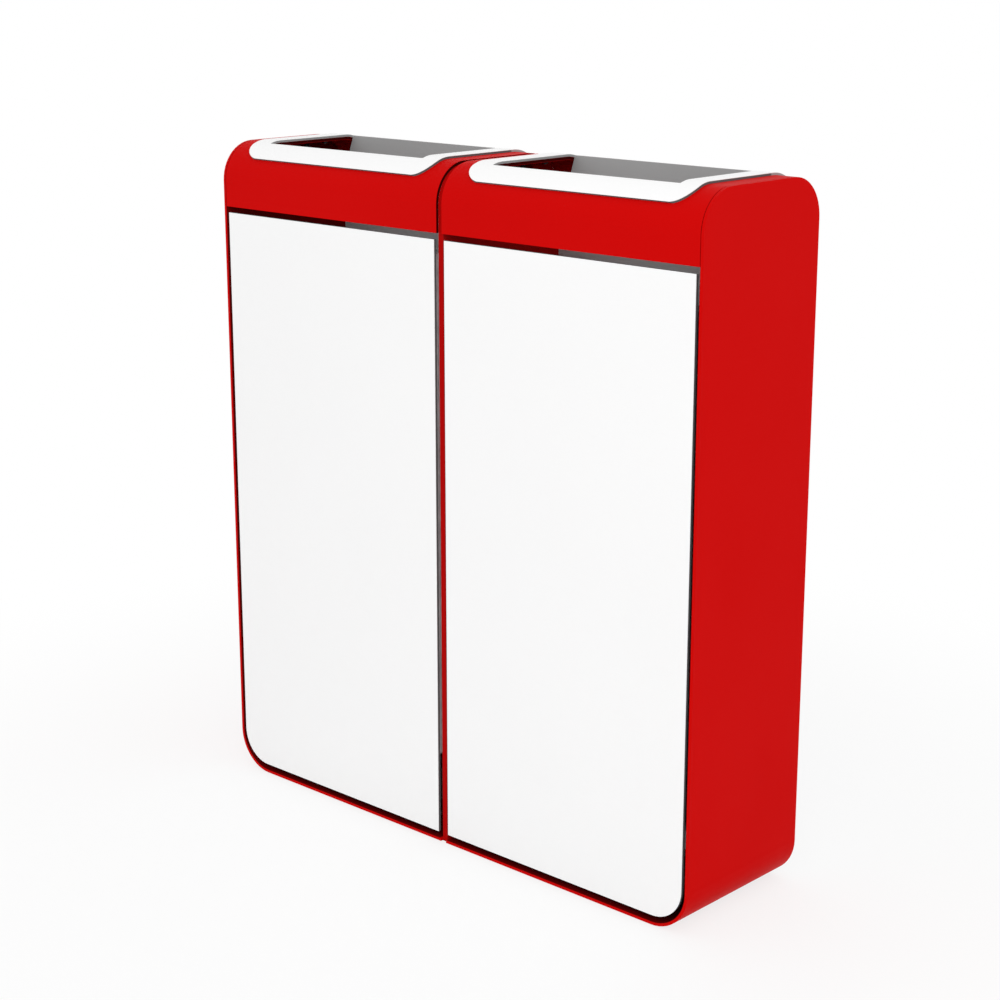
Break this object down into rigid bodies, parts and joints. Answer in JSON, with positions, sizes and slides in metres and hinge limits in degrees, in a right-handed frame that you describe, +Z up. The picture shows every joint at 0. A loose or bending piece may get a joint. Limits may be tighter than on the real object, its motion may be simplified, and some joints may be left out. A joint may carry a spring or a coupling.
{
  "type": "double recycling bin",
  "caption": "Slim two-bay recycling bin: red bent-sheet cabinet with rounded hoods, white collars round the top openings, flush white doors and lift-out liners.",
  "frame": {"origin": "on the floor under the middle of the casing, at the underside of the glides", "axes": "+Z up, +X to the right as seen from the front, -Y towards the door faces"},
  "size_m": [0.802, 0.2176, 0.884],
  "materials": {
    "red_coat": "smooth red powder coat, dark red primer inside",
    "white_coat": "smooth white coat, grey on the reverse and the cut edges",
    "grey_coat": "smooth grey coat",
    "zinc_steel": "bright zinc plate",
    "black_screw": "black zinc plate",
    "bright_rivet": "plain aluminium",
    "grey_plastic": "light grey moulded plastic",
    "black_rubber": "black rubber"
  },
  "bodies": {
    "casing": {"back_angle_left": "zinc_steel", "back_angle_right": "zinc_steel", "back_panel": "grey_coat", "back_panel_rivets": "bright_rivet", "bumper_left": "black_rubber", "bumper_right": "black_rubber", "collar_left": "white_coat", "collar_nuts_left": "black_screw", "collar_nuts_right": "black_screw", "collar_right": "white_coat", "floor_angle_left": "zinc_steel", "floor_angle_right": "zinc_steel", "frame_screws": "black_screw", "glides": "black_rubber", "guide_screws": "zinc_steel", "hinge_fixed_leaf_left": "zinc_steel", "hinge_fixed_leaf_right": "zinc_steel", "hinge_pin_left": "zinc_steel", "hinge_pin_right": "zinc_steel", "hinge_screws": "zinc_steel", "hood_inner_angle_left": "red_coat", "hood_inner_angle_right": "red_coat", "hood_left": "red_coat", "hood_outer_angle_left": "red_coat", "hood_outer_angle_right": "red_coat", "hood_right": "red_coat", "latch_body_left": "grey_plastic", "latch_body_right": "grey_plastic", "latch_spring_left": "zinc_steel", "latch_spring_right": "zinc_steel", "liner_guide_left": "zinc_steel", "liner_guide_right": "zinc_steel", "liner_left": "grey_plastic", "liner_right": "grey_plastic", "partition": "red_coat", "partition_screws": "zinc_steel", "rear_strip_left": "zinc_steel", "rear_strip_right": "zinc_steel", "shell_left": "red_coat", "shell_right": "red_coat"},
    "door_body_right": {"door_right": "white_coat", "hinge_door_leaf_right": "zinc_steel", "strike_plate_right": "zinc_steel", "door_screws_right": "zinc_steel"},
    "plunger_body_right": {"latch_plunger_right": "grey_plastic", "latch_magnet_right": "zinc_steel"},
    "bail_body_right": {"bail_right": "zinc_steel"},
    "door_body_left": {"door_left": "white_coat", "hinge_door_leaf_left": "zinc_steel", "strike_plate_left": "zinc_steel", "door_screws_left": "zinc_steel"},
    "plunger_body_left": {"latch_plunger_left": "grey_plastic", "latch_magnet_left": "zinc_steel"},
    "bail_body_left": {"bail_left": "zinc_steel"}
  },
  "joints": [
    {"name": "door_right", "type": "hinge", "parent": "casing", "child": "door_body_right", "pos_m": [0.012, -0.10225, 0.428], "axis": [0, 0, -1], "range_deg": [0, 90]},
    {"name": "latch_right", "type": "slide", "parent": "casing", "child": "plunger_body_right", "axis": [0, 1, 0], "range_m": [0, 0.003], "stiffness_N_per_m": 400, "springref_m": -0.008},
    {"name": "bail_right", "type": "hinge", "parent": "casing", "child": "bail_body_right", "pos_m": [0.2005, 0.00125, 0.7408], "axis": [-1, 0, 0], "range_deg": [0, 180]},
    {"name": "door_left", "type": "hinge", "parent": "casing", "child": "door_body_left", "pos_m": [-0.012, -0.10225, 0.428], "axis": [0, 0, 1], "range_deg": [0, 90]},
    {"name": "latch_left", "type": "slide", "parent": "casing", "child": "plunger_body_left", "axis": [0, 1, 0], "range_m": [0, 0.003], "stiffness_N_per_m": 400, "springref_m": -0.008},
    {"name": "bail_left", "type": "hinge", "parent": "casing", "child": "bail_body_left", "pos_m": [-0.2005, 0.00125, 0.7408], "axis": [-1, 0, 0], "range_deg": [0, 180]}
  ]
}
